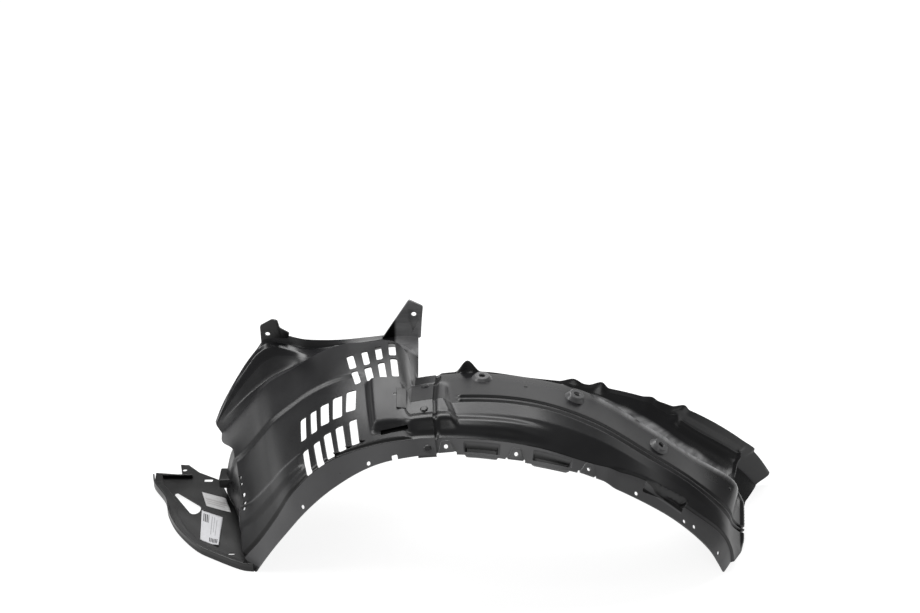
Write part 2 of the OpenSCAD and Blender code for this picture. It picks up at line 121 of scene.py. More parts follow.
def addLamp(name, place, target, size, power):
    lamp = bpy.data.objects.new(name, bpy.data.lights.new(name, "AREA"))
    lamp.data.shape = "RECTANGLE"
    lamp.data.size = size[0]
    lamp.data.size_y = size[1]
    lamp.data.energy = power
    lamp.location = place
    lamp.rotation_euler = (Vector(target) - Vector(place)).to_track_quat("-Z", "Y").to_euler()
    scene.collection.objects.link(lamp)


for name, lampSetup in stageLook["lamps"].items():
    addLamp(name, *lampSetup)
print("stage ready")

# shapes of the two shells, as in the source, in millimetres: stations are [angle, radius, depth]
shellSize = {
    "wall": 2.5, "archR": 420.0, "axisDrop": 195.0, "axisX": 21.55, "midX": -1.55, "midY": 164.6,
    "flange": 24, "rearDegrees": 96}


def spot(station):
    # station array (..., 3) to metres in the part's frame
    a = np.radians(station[..., 0])
    r = station[..., 1]
    x = r * np.sin(a) + shellSize["axisX"]
    z = r * np.cos(a) - shellSize["axisDrop"]
    return np.stack([x, station[..., 2] - shellSize["midY"], z], axis=-1) / 1000


def curveAt(points, t):
    # smooth curve through a list of stations, with t from 0 to 1
    p = np.array(points, float)
    last = len(p) - 1
    at = np.clip(np.asarray(t, float), 0, 1) * last
    i = np.minimum(np.floor(at).astype(int), last - 1)
    f = (at - i)[..., None]
    ext = np.vstack([2 * p[0] - p[1], p, 2 * p[-1] - p[-2]])
    a, b, c, d = ext[i], ext[i + 1], ext[i + 2], ext[i + 3]
    return 0.5 * (2 * b + (c - a) * f + (2 * a - 5 * b + 4 * c - d) * f ** 2
                  + (3 * b - a - 3 * c + d) * f ** 3)


def stations(angles, radii, far, depths):
    return [[a, shellSize["archR"] + r, far + d] for a, r, d in zip(angles, radii, depths)]


def ramp(x, a, b):
    # 0 before a, 1 after b, smooth between them
    f = np.clip((x - a) / (b - a), 0, 1)
    return f * f * (3 - 2 * f)


def window(x, a, b, soft):
    # 1 between a and b, fading over soft on either side
    return ramp(x, a - soft, a) * (1 - ramp(x, b, b + soft))


def footAngle(out, z):
    # angle at which a rail reaches the height z
    return math.degrees(math.acos((shellSize["axisDrop"] + z) / (shellSize["archR"] + out)))


rearAngles = [-12, 0, 12, 24, 36, 47, 56, 60.5]


def rearRail(radii, far, depths, z=-4):
    return stations(rearAngles + [footAngle(radii[-1], z)], radii, far, depths)


rearRails = [
    # fender edge, flange crease, panel's low edge, its ridge, its upper edge, channel, band, rim
    rearRail([-2, -10, -17, -10, -4, 7, 14, 14, 14], 0, [0] * 9),
    rearRail([20, 10, 5, 2, 16, 21, 35, 34, 24], 14, [0, 0, 0, 2, 11, 11, 11, 11, 11]),
    rearRail([30, 26, 25, 22, 21, 31, 41, 38, 38], 0, [60, 60, 58, 55, 50, 48, 42, 42, 50]),
    rearRail([34, 32, 31, 26, 24, 38, 46, 44, 54], 0, [80, 82, 82, 78, 70, 60, 58, 68, 90]),
    rearRail([19, 18, 18, 24, 30, 45, 74, 62, 75], 190, [0, 0, -1, -9, -32, -48, -62, -58, -42]),
    rearRail([15, 14, 13, 17, 21, 34, 52, 60, 90], 190, [4, 4, 3, -3, -22, -34, -38, -18, 2]),
    rearRail([11, 11, 8, 24, 47, 51, 71, 86, 103], 190, [8, 8, 8, 5, 4, 13, 27, 38, 40], 8),
    rearRail([13, 14, 11, 28, 53, 75, 94, 105, 112], 190, [12, 12, 12, 11, 13, 26, 40, 49, 58], 16)]
seamT = 0.0052
flangeEndT = seamT + math.degrees(shellSize["flange"] / shellSize["archR"]) / shellSize["rearDegrees"]
seamRise = shellSize["wall"] * 1.35 + 0.3
# waves of the rear rim: [t, height, half width]
rimEars = [[0.108, 20, 0.028], [0.335, 7, 0.028], [0.392, 9, 0.022], [0.5, 4, 0.02], [0.57, 5, 0.02]]


def rearStation(t, v):
    # v: 0 fender edge to 7 rim, one for each rail
    t, v = np.broadcast_arrays(np.asarray(t, float), np.asarray(v, float))
    w = np.clip(v, 0, 7)
    i = np.minimum(np.floor(w).astype(int), 6)
    every = np.stack([curveAt(rail, t) for rail in rearRails])
    low = np.take_along_axis(every, i[None, ..., None], 0)[0]
    high = np.take_along_axis(every, i[None, ..., None] + 1, 0)[0]
    f = (w - i)[..., None]
    return low * (1 - f) + high * f


# two flange pockets and the slanted recess further down, as [t0, t1, v0, v1]
rearDents = [[0.098, 0.174, 0.16, 0.86], [0.247, 0.334, 0.2, 0.86], [0.505, 0.622, 0.5, 0.98]]
# their depth and slope; the wall round the foot that falls back behind a line; the step in the flange
dentLook = {
    "depth": 10, "side": 0.005, "lean": 0.4, "farDepth": 20, "brink": 0.832, "brinkRise": 0.041,
    "edge": 3, "step": 5}


def rearDent(t, v):
    out = 0
    side = dentLook["side"]
    for k, (a, b, low, high) in enumerate(rearDents):
        lean = dentLook["lean"] * ramp(t, a, b) if k == 2 else 0
        up = window(v, low + 0.1 + lean, high - 0.12 + lean, 0.16 if k == 2 else 0.07)
        out = out + dentLook["depth"] * window(t, a + side, b - side, side) * up
    brink = dentLook["brink"] + dentLook["brinkRise"] * (5.77 - v)
    span = ramp(v, 2.0, 2.7) * (1 - ramp(v, 6.1, 6.8))
    far = dentLook["farDepth"] * ramp(t, brink + 0.002, brink + 0.03) * span
    edge = dentLook["edge"] * window(t, brink - 0.008, brink, 0.01) * span
    step = dentLook["step"] * ramp(t, 0.41, 0.45) * (1 - ramp(v, 0.95, 1.1))
    return edge - out - far - step


def rearOut(t, v):
    # ridge, double groove, block at the seam, band and rim waves
    wave = sum(e[1] * (1 - ramp(np.abs(t - e[0]), 0, e[2])) for e in rimEars)
    lines = sum(window(v, g, g + 0.01, 0.05) for g in (3.06, 3.2))
    blockEnd = 0.052 + 0.009 * (3.6 - v)
    return (6 * window(v, 1.4, 1.6, 0.3) * (1 - ramp(t, 0.18, 0.3))
            - 6 * lines * ramp(t, 0.085, 0.1)
            + 10 * window(v, 1.5, 3.5, 0.25) * (1 - ramp(t, blockEnd, blockEnd + 0.02))
            + 5 * ramp(v, 5.7, 5.85) * (1 - window(v, 6.25, 6.45, 0.1)) * window(t, 0.57, 0.86, 0.02)
            + wave * ramp(v, 5, 7))


def rearPoint(t, v):
    s = rearStation(t, v)
    s[..., 1] += rearDent(t, v)
    ripple = window(t, 0.4, 0.85, 0.06) * window(v, 4.3, 5.2, 0.3)
    s[..., 1] += ripple * 1.6 * np.sin(t * 52 + v)
    # sunk under the front shell's flange at the seam
    s[..., 1] += rearOut(t, v) - seamRise * (1 - ramp(t, flangeEndT + 0.002, flangeEndT + 0.012))
    return spot(s)


frontAngles = [-60.8, -54, -47, -40, -31, -21, -11.5]
frontWallAngles = [-56.6, -53.5, -50.3, -47.3, -44.4, -41.6, -39, -36.3, -33.3, -28, -22, -15, -12]
frontLip = stations(frontAngles, [-29, -28, -25, -18, -8, 1, -2], 0, [0] * 7)
frontCrease = stations([-60] + frontAngles[1:], [-6, -10, -4, 11, 24, 23, 20], 22, [0, 0, 0, 0, 0, -2, -8])
# panel's upper edge, valley, wall top, shelf and rim, as radii and depths
frontRailSizes = [
    [[76, 74, 74, 75, 77, 78, 76, 74, 75, 76, 71, 59, 20], [18, 18, 18, 18, 17, 16, 15, 14, 13, 10, 3, -9, -60]],
    [[91, 88, 85, 83, 81, 79, 75, 71, 66, 55, 46, 40, 14], [30, 31, 32, 34, 35, 36, 36, 35, 33, 28, 20, 8, -52]],
    [[93, 98, 103, 108, 112, 116, 110, 88, 66, 50, 38, 28, 20], [34, 40, 47, 53, 59, 63, 64, 59, 50, 44, 42, 40, 30]],
    [[94, 99, 105, 109, 114, 118, 116, 92, 66, 50, 38, 30, 22], [37, 44, 51, 57, 63, 68, 73, 72, 70, 66, 62, 58, 50]],
    [[95, 101, 106, 111, 116, 120, 124, 110, 82, 56, 41, 31, 24], [40, 48, 55, 61, 67, 72, 77, 78, 77, 75, 72, 68, 64]]]
frontRails = [stations(frontWallAngles, radii, 250, depths) for radii, depths in frontRailSizes]


def frontOut(t, s):
    # bulge, crease groove, upper and lower ribs, block beside the louvres
    return (48 * s * (1 - s) - 2.5 * window(s, 0.008, 0.012, 0.014)
            + 4 * (1 - ramp(t, 0.8, 0.86)) * ramp(s, 0.6, 0.63)
            + 4 * (1 - ramp(t, 0.56, 0.6)) * window(s + 0.15 * t, 0.18, 0.25, 0.03)
            + 12 * ramp(t, 0.842, 0.868) * window(s, 0.12, 0.5 + 0.33 * ramp(t, 0.95, 0.99), 0.04))


def frontStation(t, u):
    # u: -1 lip, 0 crease, 0 to 1 panel, 2 valley, 3 wall top, 4 shelf, 5 rim
    t, u = np.broadcast_arrays(np.asarray(t, float), np.asarray(u, float))
    s = np.clip(u, 0, 1)
    crease, edge = curveAt(frontCrease, t), curveAt(frontRails[0], t)
    panel = crease * (1 - s[..., None]) + edge * s[..., None]
    panel[..., 1] += frontOut(t, s)
    seam = rearStation(np.full_like(t, seamT), 1 + 3 * s)
    seam[..., 1] += rearOut(seamT, 1 + 3 * s)
    k = ramp(t, 0.95, 0.99)
    panel[..., 0] += 4.5 * window(s, 0.32, 0.66, 0.3) * (1 - np.clip(t, 0, 1)) ** 4
    panel[..., 1] = panel[..., 1] * (1 - k) + seam[..., 1] * k
    panel[..., 2] = panel[..., 2] * (1 - k) + seam[..., 2] * k
    f = np.clip(-u, 0, 1)[..., None]
    out = np.where(u[..., None] < 0, panel * (1 - f) + curveAt(frontLip, t) * f, panel)
    outer = [panel] + [curveAt(rail, t) for rail in frontRails[1:]]
    for k2 in range(4):
        f = np.clip(u - 1 - k2, 0, 1)[..., None]
        out = np.where(u[..., None] > 1 + k2, outer[k2] * (1 - f) + outer[k2 + 1] * f, out)
    return out


def frontPoint(t, u):
    # t over 1 runs on over the flange at the seam
    t, u = np.broadcast_arrays(np.asarray(t, float), np.asarray(u, float))
    own = frontStation(np.minimum(t, 1), u)
    v = np.where(u < 0, 1 + u, np.where(u <= 1, 1 + 3 * u, 4 + 0.72 * (u - 1)))
    tt = seamT + np.maximum(t - 1, 0)
    over = rearStation(tt, v)
    over[..., 1] += rearOut(tt, v)
    return spot(np.where((t > 1)[..., None], over, own))


def gridPiece(name, pointAt, along, across, gone=None):
    # a grid laid on the shell's surface, its UV map holding the rail places, then its wall inwards
    bm = bmesh.new()
    nx, ny = len(along) - 1, len(across) - 1
    bmesh.ops.create_grid(bm, x_segments=nx, y_segments=ny, size=1)
    place = pointAt(np.array(along)[None, :], np.array(across)[:, None])
    rail = bm.loops.layers.uv.new("railMap")
    unwanted = []
    for face in bm.faces:
        spots = []
        for loop in face.loops:
            i = round((loop.vert.co.x + 1) / 2 * nx)
            j = round((loop.vert.co.y + 1) / 2 * ny)
            loop[rail].uv = (along[i], across[j])
            spots.append((along[i], across[j]))
        if gone and gone(sum(c[0] for c in spots) / 4, sum(c[1] for c in spots) / 4):
            unwanted.append(face)
    for vert in bm.verts:
        vert.co = place[round((vert.co.y + 1) / 2 * ny), round((vert.co.x + 1) / 2 * nx)]
    bmesh.ops.delete(bm, geom=unwanted, context="FACES")
    piece = pieceFrom(bm, name)
    thick = piece.modifiers.new("wall", "SOLIDIFY")
    thick.thickness = shellSize["wall"] / 1000
    thick.offset = -1
    settle(piece)
    return piece


def pieceFrom(bm, name):
    mesh = bpy.data.meshes.new(name)
    bm.to_mesh(mesh)
    bm.free()
    piece = bpy.data.objects.new(name, mesh)
    scene.collection.objects.link(piece)
    return piece


def settle(piece):
    # applies the piece's modifiers
    graph = bpy.context.evaluated_depsgraph_get()
    done = bpy.data.meshes.new_from_object(piece.evaluated_get(graph))
    piece.modifiers.clear()
    piece.data = done


def cutWith(piece, tools, crossing=False):
    # takes the closed forms in a bmesh out of a piece; crossing where those forms overlap
    bmesh.ops.recalc_face_normals(tools, faces=tools.faces)
    tool = pieceFrom(tools, "tool")
    cut = piece.modifiers.new("cut", "BOOLEAN")
    cut.operation = "DIFFERENCE"
    cut.solver = "EXACT"
    cut.use_self = crossing
    cut.object = tool
    settle(piece)
    bpy.data.objects.remove(tool)


def joinInto(piece, others):
    # one piece of several, its feet trimmed flat on the floor
    bm = bmesh.new()
    bm.from_mesh(piece.data)
    for other in others:
        bm.from_mesh(other.data)
        bpy.data.objects.remove(other)
    cut = bmesh.ops.bisect_plane(bm, geom=bm.verts[:] + bm.edges[:] + bm.faces[:], plane_co=(0, 0, 0),
                                 plane_no=(0, 0, -1), clear_outer=True)
    bmesh.ops.holes_fill(bm, edges=[e for e in cut["geom_cut"] if isinstance(e, bmesh.types.BMEdge)], sides=0)
    bm.to_mesh(piece.data)
    bm.free()


def seatOn(pointAt, t, u, lean=0):
    # X along the arch, Y across it, Z out of it, in millimetres
    near = ((t, u), (t - 0.01, u), (t + 0.01, u), (t, u - 0.03), (t, u + 0.03))
    p, a0, a1, c0, c1 = (Vector(pointAt(np.array(x), np.array(y))) for x, y in near)
    y = (c1 - c0).normalized()
    z = (a1 - a0).cross(y).normalized()
    turn = Matrix((y.cross(z), y, z)).transposed().to_4x4()
    return Matrix.Translation(p) @ turn @ Matrix.Rotation(math.radians(lean), 4, "Z") @ Matrix.Scale(0.001, 4)


def shift(x, y, z):
    return Matrix.Translation((x, y, z))


def finishNew(bm, old, place):
    # turns the new form's faces outwards and sets it in its place
    new = [v for v in bm.verts if v not in old]
    bmesh.ops.recalc_face_normals(bm, faces=[f for f in bm.faces if f.verts[0] not in old])
    bmesh.ops.transform(bm, matrix=place, verts=new)


def softened(bm, edges, size, steps):
    bmesh.ops.bevel(bm, geom=edges, offset=size, segments=steps, profile=0.5, affect="EDGES", material=-1)


def addBar(bm, place, size, corner=0, soften=0):
    # block with rounded upright corners, then softened edges
    old = set(bm.verts)
    bmesh.ops.create_cube(bm, size=1, matrix=Matrix.Diagonal((*size, 1)))
    for part, amount in (("side", corner), ("all", soften)):
        if amount:
            fresh = [e for e in bm.edges if e.verts[0] not in old]
            if part == "side":
                fresh = [e for e in fresh if abs(e.verts[0].co.z - e.verts[1].co.z) > size[2] / 2]
            else:
                fresh = [e for e in fresh if e.verts[0].co.z == e.verts[1].co.z]
                fresh = [e for e in fresh if abs(e.verts[0].co.z) > size[2] * 0.49]
            softened(bm, fresh, amount, 4)
    finishNew(bm, old, place)


def addDisc(bm, place, radius, depth=40):
    bmesh.ops.create_cone(bm, cap_ends=True, segments=32, radius1=radius, radius2=radius, depth=depth, matrix=place)


def addPlate(bm, place, outline, height, corner=0, soften=0):
    # flat outline given its height, with rounded corners and softened upper edges
    old = set(bm.verts)
    face = bm.faces.new([bm.verts.new((x, y, 0)) for x, y in outline])
    made = bmesh.ops.extrude_face_region(bm, geom=[face])["geom"]
    bmesh.ops.translate(bm, vec=(0, 0, height), verts=[v for v in made if isinstance(v, bmesh.types.BMVert)])
    if corner:
        fresh = [e for e in bm.edges if e.verts[0] not in old]
        softened(bm, [e for e in fresh if abs(e.verts[0].co.z - e.verts[1].co.z) > height / 2], corner, 4)
    if soften:
        fresh = [e for e in bm.edges if e.verts[0] not in old]
        softened(bm, [e for e in fresh if min(e.verts[0].co.z, e.verts[1].co.z) > height * 0.99], soften, 3)
    finishNew(bm, old, place)


def addSpun(bm, place, profile):
    # closed profile of [radius, height] turned about Z
    old = set(bm.verts)
    ring = [bm.verts.new((r, 0, z)) for r, z in profile]
    edges = [bm.edges.new((ring[k], ring[(k + 1) % len(ring)])) for k in range(len(ring))]
    bmesh.ops.spin(bm, geom=ring + edges, cent=(0, 0, 0), axis=(0, 0, 1), dvec=(0, 0, 0), angle=2 * math.pi,
                   steps=40, use_merge=True)
    finishNew(bm, old, place)


# front shell: its louvres as [t, s, width, length], and what else is cut or stands on it
frontLook = {
    "corner": 3.0,
    "midSlots": [[0.61, 0.35, 13, 45], [0.663, 0.35, 12.5, 45], [0.708, 0.363, 15.7, 43],
                 [0.752, 0.376, 16.6, 45], [0.796, 0.395, 16.7, 43]],
    "lowSlots": [[0.6, 0.094, 12, 46], [0.654, 0.091, 13, 47], [0.7, 0.109, 14, 48],
                 [0.744, 0.121, 14, 48], [0.791, 0.136, 14, 48]],
    "topSlots": [[0.812, 0.761, 11, 38], [0.82, 0.598, 10, 29], [0.847, 0.799, 9.5, 39], [0.854, 0.619, 11, 34],
                 [0.876, 0.837, 10, 38], [0.886, 0.631, 10.5, 44], [0.906, 0.897, 11, 38], [0.918, 0.689, 11, 47]],
    "leans": [-8, -3, 7],
    "endHoles": [[0.014, 0.47, 4], [0.016, 0.42, 3], [0.02, 0.335, 4.5], [0.026, 0.28, 3], [0.045, 0.235, 3]],
    "lipHoles": [[0.501, -0.766], [0.812, -0.8]], "lipHoleR": 3.2, "lipNotch": [0.908, -1],
    "opening": [0.922, 0.085], "padSlot": [0.936, 0.362], "pad": [0.953, 0.338],
    "ear": [[-12, 15], [8, 27], [17, 25], [20, 11], [36, 1], [26, -22], [-11, -32]],
    "seamEar": [[-53, -46], [-8, 27], [15, 15], [13, -9], [11, -43], [-40, -47]],
    "seamEarPocket": [[-9, 11], [5, 4], [7, -12], [-2, -30], [-9, -8]],
    "earT": 4, "holeR": 4, "earShift": (3, 1, 7), "seamEarShift": (-7, 0, 40)}

frontAlong = (list(np.linspace(0, 0.95, 180)) + list(np.linspace(0.955, 1, 16))
              + [1 + k / 6 * (flangeEndT - seamT) for k in range(1, 7)])
frontAcross = (list(np.linspace(-1, 0, 12)) + [0.004, 0.008, 0.012, 0.018, 0.026]
               + list(np.linspace(0.035, 1, 86)) + list(np.linspace(1.05, 5, 44)))
frontShell = gridPiece("frontShell", frontPoint, frontAlong, frontAcross, gone=lambda t, u: t > 1 and u > 2)
tools = bmesh.new()
for row, lean in zip(("midSlots", "lowSlots", "topSlots"), frontLook["leans"]):
    for t, s, w, l in frontLook[row]:
        addBar(tools, seatOn(frontPoint, t, s, lean), (w, l, 30), frontLook["corner"])
addBar(tools, seatOn(frontPoint, *frontLook["opening"]), (44, 7, 30), 1.5)
addBar(tools, seatOn(frontPoint, *frontLook["padSlot"]), (10, 3, 30), 1)
for t, u in frontLook["lipHoles"]:
    addDisc(tools, seatOn(frontPoint, t, u), frontLook["lipHoleR"])
for t, u, r in frontLook["endHoles"]:
    addDisc(tools, seatOn(frontPoint, t, u), r, 16)
addBar(tools, seatOn(frontPoint, *frontLook["lipNotch"]), (9, 14, 30), 1.5)
cutWith(frontShell, tools)
print("front shell cut")

extras = bmesh.new()
for t, s, w, l in frontLook["lowSlots"][2:]:
    # slanted vane under the slot's rear side, with its small gusset
    seat = seatOn(frontPoint, t, s, frontLook["leans"][1]) @ shift(w / 2 - 1, 0, -1.25)
    addBar(extras, seat @ Matrix.Rotation(math.radians(25), 4, "Y") @ shift(0.9, 0, -4.5), (1.8, l + 4, 9), 0, 0.5)
    gusset = seat @ shift(1, -l / 2 + 3, 0.5) @ Matrix.Rotation(math.radians(90), 4, "X")
    addPlate(extras, gusset, [[0, 0], [9, 0], [0, 5]], 2, 0, 0.4)
addBar(extras, seatOn(frontPoint, *frontLook["pad"]), (15, 44, 1.4), 1, 0.5)
ledge = seatOn(frontPoint, *frontLook["opening"])
addBar(extras, ledge @ shift(0, 2, -9) @ Matrix.Rotation(math.radians(-8), 4, "X"), (50, 24, 2), 1, 0.6)
addBar(extras, ledge @ shift(0, 12, -5), (50, 2, 10), 0.5, 0.4)
frontExtras = pieceFrom(extras, "frontExtras")


def upright(at):
    # plane of an ear: its outline lies in X and Z, its thickness along Y
    return shift(*at) @ Matrix.Rotation(math.radians(90), 4, "X") @ Matrix.Scale(0.001, 4)


def earPiece(name, at, outline, pocket=None):
    bm = bmesh.new()
    addPlate(bm, upright(at) @ shift(0, 0, -frontLook["earT"] / 2), outline, frontLook["earT"], 2.5, 0.6)
    ear = pieceFrom(bm, name)
    tools = bmesh.new()
    addDisc(tools, upright(at), frontLook["holeR"])
    if pocket:
        addPlate(tools, upright(at) @ shift(0, 0, 0.3), pocket, 9, 1)
    cutWith(ear, tools, True)
    return ear


frontEarAt = Vector(frontPoint(np.array(0.5), np.array(5.0))) + Vector(frontLook["earShift"]) / 1000
seamEarAt = Vector(frontPoint(np.array(1.0), np.array(5.0))) + Vector(frontLook["seamEarShift"]) / 1000
frontEar = earPiece("frontEar", frontEarAt, frontLook["ear"])
seamEar = earPiece("seamEar", seamEarAt, frontLook["seamEar"], frontLook["seamEarPocket"])

# tray at the front foot, in plan and in millimetres from the source's own corner
trayLook = {
    "rim": [[-322, 3], [-343, 8], [-385, 32], [-416, 54], [-450, 97], [-470, 139], [-480, 176],
            [-503, 215], [-509, 238]],
    "back": [[-510, 257], [-466, 252], [-472, 280], [-458, 279], [-438, 258], [-401, 236]],
    "inner": [[-365, 152], [-350, 107], [-332, 39]],
    "corner": [-385, 200], "floorT": 2.5, "rimH": 14, "slope": 1.5, "bandW": 13, "bandH": 5,
    # holes as [place, radius, stretch]; the drop's straight sides; slots as [x, y, length, width]
    "holes": [[(-433, 157), 10, 1.35], [(-467, 197), 3.5, 1.4], [(-463, 265), 4, 1]],
    "dropSides": [[-426.4, 167.2], [-464.8, 200.8], [-469.3, 193.3], [-439.6, 146.8]],
    "slots": [[-420, 236, 14, 9], [-361, 42, 10, 5]]}
trayPlace = (Matrix.Translation((-shellSize["midX"] / 1000, -shellSize["midY"] / 1000, 0))
             @ Matrix.Rotation(math.radians(trayLook["slope"]), 4, "X") @ Matrix.Scale(0.001, 4))


def beside(line, d):
    # a line moved sideways in plan by d, outwards where d is negative
    out = []
    for k in range(len(line)):
        a, b = line[max(k - 1, 0)], line[min(k + 1, len(line) - 1)]
        n = Vector((b[1] - a[1], a[0] - b[0])).normalized()
        out.append([line[k][0] + d * n[0], line[k][1] + d * n[1]])
    return out


rimLine = [list(c) for c in curveAt(trayLook["rim"], np.linspace(0, 1, 49))]
bm = bmesh.new()
addPlate(bm, trayPlace, rimLine + trayLook["back"] + trayLook["inner"], trayLook["floorT"], 0, 0.6)
tray = pieceFrom(bm, "tray")
for at, r, tall in trayLook["holes"]:
    # one after another, because they overlap
    tools = bmesh.new()
    addDisc(tools, trayPlace @ shift(*at, 0) @ Matrix.Diagonal((1, tall, 1, 1)), r)
    cutWith(tray, tools)
tools = bmesh.new()
addPlate(tools, trayPlace @ shift(0, 0, -20), trayLook["dropSides"], 40)
for x, y, l, w in trayLook["slots"]:
    addBar(tools, trayPlace @ shift(x, y, 0), (l, w, 40), 1.5)
cutWith(tray, tools)
bm = bmesh.new()
addPlate(bm, trayPlace, rimLine + beside(rimLine, -2.5)[::-1], trayLook["rimH"], 0, 0.8)
band = beside(rimLine, -1.5)[6:-3] + beside(rimLine, trayLook["bandW"])[6:-3][::-1]
addPlate(bm, trayPlace @ shift(0, 0, 1), band, trayLook["bandH"], 0, 1.6)
addBar(bm, trayPlace @ shift(-472, 243, 4.4), (50, 3, 8.8), 1, 1)
trayRim = pieceFrom(bm, "trayRim")


# plate beside the tray: its holes as [s, radius], and the cap block in metres
plateLook = {
    "span": 0.72, "panelT": 0.012, "tuck": 0.83, "bulge": 0.005,
    "holes": [[0.2, 3], [0.34, 2.5], [0.52, 3], [0.6, 2]],
    "capAt": (-0.3765, 0.0344, 0.038), "capSize": (34, 36, 16)}


def plateAt(s, f):
    # plate between the panel's front end and the tray: s along it to "span", f up it
    s, f = np.broadcast_arrays(np.asarray(s, float), np.asarray(f, float))
    top = frontPoint(np.full_like(s, plateLook["panelT"]), s)
    top = top - np.array([plateLook["tuck"], 0, plateLook["tuck"]]) / 1000
    line = curveAt([[*c, 0] for c in trayLook["inner"][::-1] + [trayLook["corner"]]], s / plateLook["span"])
    a = math.radians(trayLook["slope"])
    x, y, z = line[..., 0] - shellSize["midX"], line[..., 1] * math.cos(a), line[..., 1] * math.sin(a)
    foot = np.stack([x, y - shellSize["midY"], z], axis=-1) / 1000
    out = top * f[..., None] + foot * (1 - f[..., None])
    out[..., 0] -= plateLook["bulge"] * np.sin(np.pi * np.clip(f, 0, 1)) ** 0.6 * ramp(s, 0.02, 0.25)
    return out


plateAlong = list(np.linspace(0.02, plateLook["span"], 40))
endPlate = gridPiece("endPlate", lambda s, f: plateAt(s, 1 - f), plateAlong, list(np.linspace(0, 1, 12)))
tools = bmesh.new()
for s, r in plateLook["holes"]:
    addDisc(tools, seatOn(lambda a, b: plateAt(a, 1 - b), s, 0.5), r, 16)
cutWith(endPlate, tools)
bm = bmesh.new()
addBar(bm, Matrix.Translation(plateLook["capAt"]) @ Matrix.Scale(0.001, 4), plateLook["capSize"], 3, 2)
plateCap = pieceFrom(bm, "plateCap")
joinInto(frontShell, [frontExtras, frontEar, seamEar, tray, trayRim, endPlate, plateCap])
print("front section joined")

# rear shell: bosses as [t, v, height], plain holes and tabs as [t, v]
rearLook = {
    "bosses": [[0.138, 3.81, 6], [0.336, 3.66, 10], [0.534, 3.54, 8]],
    "holes": [[0.23, 3.65], [0.74, 3.71], [0.494, 0.22], [0.636, 0.26], [0.669, 0.36], [0.818, 0.28]],
    "tabs": [[0.061, 0.48], [0.21, 0.4], [0.372, 0.45]],
    "tabPlan": [[-13, -9], [13, -9], [6.5, 9], [-6.5, 9]],
    "bossR": 11, "bossLean": 10, "clipR": 4.6, "holeR": 3}
# extra lines on either side of each pocket's ends
pocketLines = [end + k for dent in rearDents for end in dent[:2] for k in (-0.0011, 0.0013)]
rearAlong = sorted(list(np.linspace(0, 1, 240)) + pocketLines)
rearAcross = (list(np.linspace(0, 1, 30)) + list(np.linspace(1.03, 2.98, 38))
              + list(np.linspace(3, 3.4, 26)) + list(np.linspace(3.46, 7, 56)))
rearShell = gridPiece("rearShell", rearPoint, rearAlong, rearAcross)
tools = bmesh.new()
for t, v, h in rearLook["bosses"]:
    addDisc(tools, seatOn(rearPoint, t, v), rearLook["bossR"] - 2.5)
for t, v in rearLook["holes"] + rearLook["tabs"]:
    addDisc(tools, seatOn(rearPoint, t, v), rearLook["holeR"])
for t, v in rearLook["tabs"]:
    addBar(tools, seatOn(rearPoint, t, 0), (30, 7, 30), 2)
cutWith(rearShell, tools)
print("rear shell cut")

bm = bmesh.new()
for t, v, h in rearLook["bosses"]:
    # filleted boss with its clip hole, leaning a little to the viewer
    r, hole = rearLook["bossR"], rearLook["clipR"]
    seat = seatOn(rearPoint, t, v) @ Matrix.Rotation(math.radians(rearLook["bossLean"]), 4, "X")
    addSpun(bm, seat, [[r + 7, -4], [r + 4.8, 0.2], [r + 3, h * 0.3 + 0.5], [r + 0.9, h - 0.9], [r - 0.4, h],
                       [hole + 0.6, h], [hole, h - 0.6], [hole, h - 2.5], [r - 2.2, h - 2.5], [r + 0.6, -5]])
bosses = pieceFrom(bm, "bosses")
bm = bmesh.new()
for t, v in rearLook["tabs"]:
    addPlate(bm, seatOn(rearPoint, t, v) @ shift(0, 0, -1.25), rearLook["tabPlan"], 4.25, 2.5, 1)
tabs = pieceFrom(bm, "tabs")
tools = bmesh.new()
for t, v in rearLook["tabs"]:
    addDisc(tools, seatOn(rearPoint, t, v), rearLook["holeR"])
cutWith(tabs, tools)
joinInto(rearShell, [bosses, tabs])
print("rear section joined")

# moulded polypropylene, matt with a fine spark-eroded grain: dark grey, cloudy from the rubbing of hands and boxes,
# with painted shade and painted highlights laid into its colour.
# On Object coordinates: clouds of about 70 mm, streaks of about 110 by 14 mm; the real grain of about 0.2 mm
# is too fine to show, so it is drawn at 1.1 mm
# painted light among these colours: 060606 and 0b0b0c are painted shade, b8b8b9 is a painted highlight, and 8b8b8c is
# partly pale wear and partly a painted highlight
mouldLook = {
    "dark": "121213", "light": "202022", "scuffAndSheen": "8b8b8c", "shade": "060606", "streakHighlight": "b8b8b9", "trayShade": "0b0b0c",
    "roughLow": 0.27, "roughHigh": 0.38, "glossRough": [0.17, 0.23], "trayRough": 0.62, "specular": 0.5,
    "grainMm": 1.1, "cloudPerM": 14, "streakPerM": (9, 9, 70), "lipScuffAndSheen": 0.42, "ledgeHighlight": 0.4}


def areaWhere(tree, ranges, amount=1.0):
    # amount where each source lies between low and high, falling to 0 over soft on either side;
    # a source without a range is a factor
    area = None
    for source, *limits in ranges:
        sides = [source]
        if limits:
            low, high, soft = limits
            enter = addNode(tree, "ShaderNodeMapRange", {
                "interpolation_type": "SMOOTHSTEP", "From Min": low - soft, "From Max": low}, {"Value": source})
            leave = addNode(tree, "ShaderNodeMapRange", {
                "interpolation_type": "SMOOTHSTEP", "From Min": high, "From Max": high + soft, "To Min": 1, "To Max": 0},
                {"Value": source})
            sides = [enter.outputs[0], leave.outputs[0]]
        for side in sides:
            if area is not None:
                side = addNode(tree, "ShaderNodeMath", {"operation": "MULTIPLY"}, {0: area, 1: side}).outputs[0]
            area = side
    if amount != 1.0:
        area = addNode(tree, "ShaderNodeMath", {"operation": "MULTIPLY", 1: amount}, {0: area}).outputs[0]
    return area


